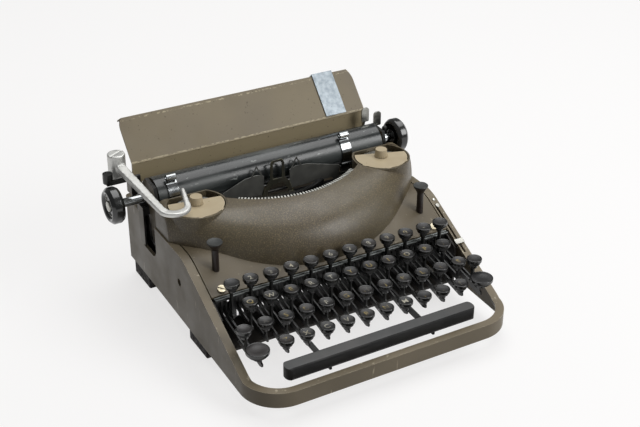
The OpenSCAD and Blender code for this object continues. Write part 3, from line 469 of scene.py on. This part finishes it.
def legendMesh(letter, centre, size):
    curve = bpy.data.curves.new("legend", "FONT")
    curve.body, curve.size = letter, size / 1000
    curve.align_x, curve.align_y = "CENTER", "CENTER"
    curve.offset, curve.resolution_u = 0.00002, 3
    holder = bpy.data.objects.new("legend", curve)
    bpy.context.scene.collection.objects.link(holder)
    mesh = bpy.data.meshes.new_from_object(holder)
    bpy.data.objects.remove(holder)
    dish, depth = keyboard["dish"] / 1000, keyboard["dishDepth"] / 1000
    for v in mesh.vertices:
        v.co.z = (v.co.x ** 2 + v.co.y ** 2) / (2 * dish) - depth + keyboard["lift"] / 1000
    mesh.transform(Matrix.Translation(centre))
    return mesh


def addLip(bm, centre, radius):
    # rounded glossy lip round the dished face of a cap
    wider = radius - keyboard["capRadius"]
    verts = [bm.verts.new(((r + wider) / 1000, 0, h / 1000)) for r, h in keyboard["lip"]]
    edges = [bm.edges.new(pair) for pair in zip(verts, verts[1:])]
    before = len(bm.faces)
    bmesh.ops.spin(bm, geom=verts + edges, cent=(0, 0, 0), axis=(0, 0, 1), angle=math.tau, steps=28,
                   use_merge=True)
    bm.faces.ensure_lookup_table()
    made = bm.faces[before:]
    for face in made:
        face.material_index = 1
    bmesh.ops.recalc_face_normals(bm, faces=made)
    bmesh.ops.translate(bm, verts=list({v for f in made for v in f.verts}), vec=centre)


def addLegends(obj, legends, radius=keyboard["capRadius"]):
    bm = bmesh.new()
    bm.from_mesh(obj.data)
    for letter, centre in legends:
        addLip(bm, centre, radius)
        if not letter:
            continue
        before = len(bm.faces)
        mesh = legendMesh(letter, centre, keyboard["legend"])
        bm.from_mesh(mesh)
        bm.faces.ensure_lookup_table()
        for face in bm.faces[before:]:
            face.material_index = 2
        bpy.data.meshes.remove(mesh)
    bm.to_mesh(obj.data)
    bm.free()
    smoothShade(obj)


keyMaterials = [blackEnamel, keytopPlastic, legendFill, keyFaceSheen, capUndersideShade]


def capPick(c, n, places, capZ):
    # lever, side of the cap, touched face (painted sheen) or underside (painted shade), by the distance
    # from the cap's axis and the way the face points
    away = min(math.hypot(c.x - x, c.y - y) for x, y in places)
    if away > keyboard["widest"] / 1000 or c.z < capZ:
        return 0
    if n.z > 0.85 and away < keyboard["faceRadius"] / 1000:
        return 3
    return 4 if n.z < -0.05 else 1


def hubHeight(centre):
    return centre.z - (keyboard["hub"] - keyboard["hubLift"]) / 1000


# the keys that have no node of their own share one, and are dressed after the others
loose = []
for row, letters in enumerate(keyboard["rows"]):
    for column, letter in enumerate(letters):
        centre = keyPlace(row, column)
        node = "key_" + letter.lower()
        if node not in nodes:
            loose.append((letter, centre))
            continue
        piece = softened("letter" + letter, node, 0.18, keyMaterials,
                         pick=lambda c, n, k=centre: capPick(c, n, [(k.x, k.y)], hubHeight(k)))
        piece.modifiers.clear()
        addLegends(piece, [(letter, centre)])


def looseKeyPick(c, n):
    near = min((k for _, k in loose), key=lambda k: math.hypot(c.x - k.x, c.y - k.y))
    return capPick(c, n, [(near.x, near.y)], hubHeight(near))


signs = softened("figureAndSignKeys", "figure_and_sign_keys", 0.18, keyMaterials, pick=looseKeyPick)
signs.modifiers.clear()
addLegends(signs, loose)

# round plungers whose caps flare out to a thin hollow top
plungerSettings = {"x": 102.5, "y": 30.5, "low": 68.5, "capAt": 31, "profile": (
    (0, 0), (3.0, 0), (3.0, 24.5), (3.5, 26.0), (6.1, 30.2), (6.75, 31.6), (6.75, 32.2), (6.5, 32.5),
    (6.0, 32.45), (4.5, 32.0), (0, 31.7))}


def plungerPick(radius, height):
    return 1 if height > plungerSettings["capAt"] else 0


for side, x in (("left", -plungerSettings["x"]), ("right", plungerSettings["x"])):
    foot = place(x, plungerSettings["y"], plungerSettings["low"])
    plunger = spun(side + "Plunger", plungerSettings["profile"], foot, (0, 0, 1),
                   [brownPhenolic, hardRubber], side + "_plunger", pick=plungerPick)
    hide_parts(side + "_plunger")

# control keys: name, height where each hub starts, the caps' places, their top and their radius
controls = {"shift_keys": ("shiftKeys", 40.6, [(-109, -58.5), (109.5, -58.5)], 49.5, 10.0),
            "shift_lock": ("shiftLock", 51.1, [(-112, -41)], 60.0, 6.75),
            "back_spacer": ("backSpacer", 51.1, [(112, -43)], 60.0, 6.75),
            "margin_release_key": ("marginReleaseKey", 69.1, [(-102.4, 0)], 78.0, 6.75),
            "tab_key": ("tabKey", 70.1, [(103.2, -1)], 79.0, 6.75)}
for node, (name, capLow, caps, top, radius) in controls.items():
    places = [tuple(place(x, y, 0))[:2] for x, y in caps]
    piece = softened(name, node, 0.2, keyMaterials,
                     pick=lambda c, n, p=places, z=capLow / 1000: capPick(c, n, p, z))
    piece.modifiers.clear()
    addLegends(piece, [("", place(x, y, top)) for x, y in caps], radius)
print("keys made")

# platen, knobs and the type basket
platenSettings = {"y": 125.0, "z": 104.0, "rubberFrom": 15.5}
platenAxis = place(0, platenSettings["y"], platenSettings["z"])


def platenPick(c, n):
    away = math.hypot(c.y - platenAxis.y, c.z - platenAxis.z)
    return 0 if away > platenSettings["rubberFrom"] / 1000 else 1


softened("platenRoller", "platen", 0.4, [platenRubber, brightChrome], pick=platenPick)
softened("platenKnobs", "platen_knobs", 0.6, [keytopPlastic, nickelPlate])

# nickel boss and thin bright ring let into the outer face of each knob
knobSettings = {"boss": [[0, 2.6], [3.4, 2.6], [4.6, 2.2], [5.0, 1.4], [5.0, 0.2], [0, 0.2]],
                "ring": [[9.0, 0.0], [9.0, 0.5], [9.8, 0.5], [9.8, 0.0]], "faceX": (-157.9, 138.9)}
for side, toward in ((0, (-1, 0, 0)), (1, (1, 0, 0))):
    at = place(knobSettings["faceX"][side], platenSettings["y"], platenSettings["z"])
    end = ("left", "right")[side]
    spun(end + "KnobBoss", knobSettings["boss"], at, toward, [nickelPlate], "platen")
    spun(end + "KnobRing", knobSettings["ring"], at, toward, [nickelPlate], "platen", 48)

# in mm: the arc's centre behind the figure row, and from there to where the bright teeth begin
basketSettings = {"centreY": 153.0, "teethFrom": 92.5}
basketCentre = place(0, basketSettings["centreY"], 0)


def basketPick(c, n):
    away = math.hypot(c.x - basketCentre.x, c.y - basketCentre.y)
    return 0 if away > basketSettings["teethFrom"] / 1000 else 1


softened("typeBasket", "type_basket", 0.0, [typeSteel, blackEnamel], pick=basketPick)

# in mm from the middle of the body: the carriage's end plates, painted outside, lie beyond this
endPlatesFrom = 105.0


def carriagePick(c, n):
    return 1 if abs(c.x - zero.x) > endPlatesFrom / 1000 and abs(n.x) > 0.5 else 0


softened("carriageFrame", "carriage_frame", 0.5, [blackEnamel, panelPaint], pick=carriagePick)
softened("carriageRail", "carriage_rail", 0.4, [darkSteel])
softened("fulcrumShaft", "fulcrum_shaft", 0.3, [bareSteel])
print("platen and basket made")

# plain scale along the touch regulator's slot, on the slope of the right arm
scaleSettings = {"x": 124.1, "from": 30.0, "step": -7.4, "marks": 7, "length": 1.1, "width": 0.35,
                 "slope": 0.5, "footY": -65.0, "footZ": 26.5, "lift": 0.04}


def slopePlace(x, y):
    s = scaleSettings
    return place(x, y, s["footZ"] + (y - s["footY"]) * s["slope"] + s["lift"])


scaleMesh = bpy.data.meshes.new("touchScale")
bm = bmesh.new()
tilt = Matrix.Rotation(math.atan(scaleSettings["slope"]), 4, "X")
for mark in range(scaleSettings["marks"]):
    at = slopePlace(scaleSettings["x"], scaleSettings["from"] + scaleSettings["step"] * mark)
    made = bmesh.ops.create_grid(bm, x_segments=1, y_segments=1, size=0.0005)
    bmesh.ops.scale(bm, vec=(scaleSettings["length"], scaleSettings["width"], 1), verts=made["verts"])
    bmesh.ops.transform(bm, matrix=Matrix.Translation(at) @ tilt, verts=made["verts"])
bm.to_mesh(scaleMesh)
bm.free()
scaleMesh.materials.append(scalePaint)
touchScale = bpy.data.objects.new("touchScale", scaleMesh)
bpy.context.scene.collection.objects.link(touchScale)
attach(touchScale, "machine")
print("scale made")

# two small domed screw heads in the flange of the right arm
armScrews = {"places": ((122.4, 37.0), (122.6, 31.0)), "radii": (1.5, 2.2)}
for number, ((x, y), radius) in enumerate(zip(armScrews["places"], armScrews["radii"])):
    at = slopePlace(x, y)
    head = [(0, -0.3), (radius, -0.3), (radius, 0.3), (radius * 0.8, 0.65), (0, 0.8)]
    upright = (0, -scaleSettings["slope"], 1)
    spun("armScrew" + "AB"[number], head, at, upright, [nickelPlate], "machine", 20)

# floor, light and camera
# seen by the camera and in reflections the floor is paler than the light it gives back
stageSettings = {"floor": "#7e7e7e", "glow": 0.72, "world": 0.19, "backdrop": 0.86}
floorMesh = bpy.data.meshes.new("floor")
bm = bmesh.new()
bmesh.ops.create_grid(bm, x_segments=2, y_segments=2, size=6)
bm.to_mesh(floorMesh)
bm.free()
floor = bpy.data.objects.new("floor", floorMesh)
bpy.context.scene.collection.objects.link(floor)
floorMat, floorTree, floorShader = newMaterial("paleFloor", 0.8, 0.0, stageSettings["floor"])
floorShader.inputs["Emission Color"].default_value = (1, 0.99, 0.985, 1)
rays = addNode(floorTree, "ShaderNodeLightPath")
seen = compute(floorTree, "ADD", rays.outputs["Is Camera Ray"], rays.outputs["Is Glossy Ray"], True)
glow = band(floorTree, seen, 0, 1, 0, stageSettings["glow"])
floorTree.links.new(glow, floorShader.inputs["Emission Strength"])
floorMesh.materials.append(floorMat)

world = bpy.data.worlds.new("studio")
bpy.context.scene.world = world
world.use_nodes = True
background = world.node_tree.nodes["Background"]
background.inputs["Color"].default_value = (1, 1, 1, 1)
# the camera sees a pale backdrop, and the light from all round is dimmer
worldRays = addNode(world.node_tree, "ShaderNodeLightPath")
strength = band(world.node_tree, worldRays.outputs["Is Camera Ray"], 0, 1, stageSettings["world"],
                stageSettings["backdrop"])
world.node_tree.links.new(strength, background.inputs["Strength"])


def addLamp(name, at, target, size, power):
    lamp = bpy.data.lights.new(name, "AREA")
    lamp.shape, lamp.size, lamp.energy = "DISK", size, power
    obj = bpy.data.objects.new(name, lamp)
    obj.location = at
    obj.rotation_euler = (Vector(target) - Vector(at)).to_track_quat("-Z", "Y").to_euler()
    bpy.context.scene.collection.objects.link(obj)


addLamp("overheadLamp", (0.45, 0.4, 1.9), (0, 0, 0.05), 2.0, 31)
addLamp("frontLamp", (1.1, -1.3, 1.1), (0, 0, 0.05), 1.1, 20)

cameraSettings = {"azimuth": 29.54, "elevation": 29.27, "roll": 0.12, "lens": 67.08, "sensor": 36,
                  "at": (-446.1, -753.1, 605.0)}
cameraData = bpy.data.cameras.new("camera")
cameraData.lens = cameraSettings["lens"]
cameraData.sensor_width = cameraSettings["sensor"]
camera = bpy.data.objects.new("camera", cameraData)
tip = math.radians(90 - cameraSettings["elevation"])
turn = Euler((tip, 0, math.radians(-cameraSettings["azimuth"]))).to_matrix()
turn = turn @ Matrix.Rotation(math.radians(cameraSettings["roll"]), 3, "Z")
camera.matrix_world = Matrix.Translation(place(*cameraSettings["at"])) @ turn.to_4x4()
bpy.context.scene.collection.objects.link(camera)
bpy.context.scene.camera = camera

scene = bpy.context.scene
scene.view_settings.view_transform = "Standard"
print("scene ready")
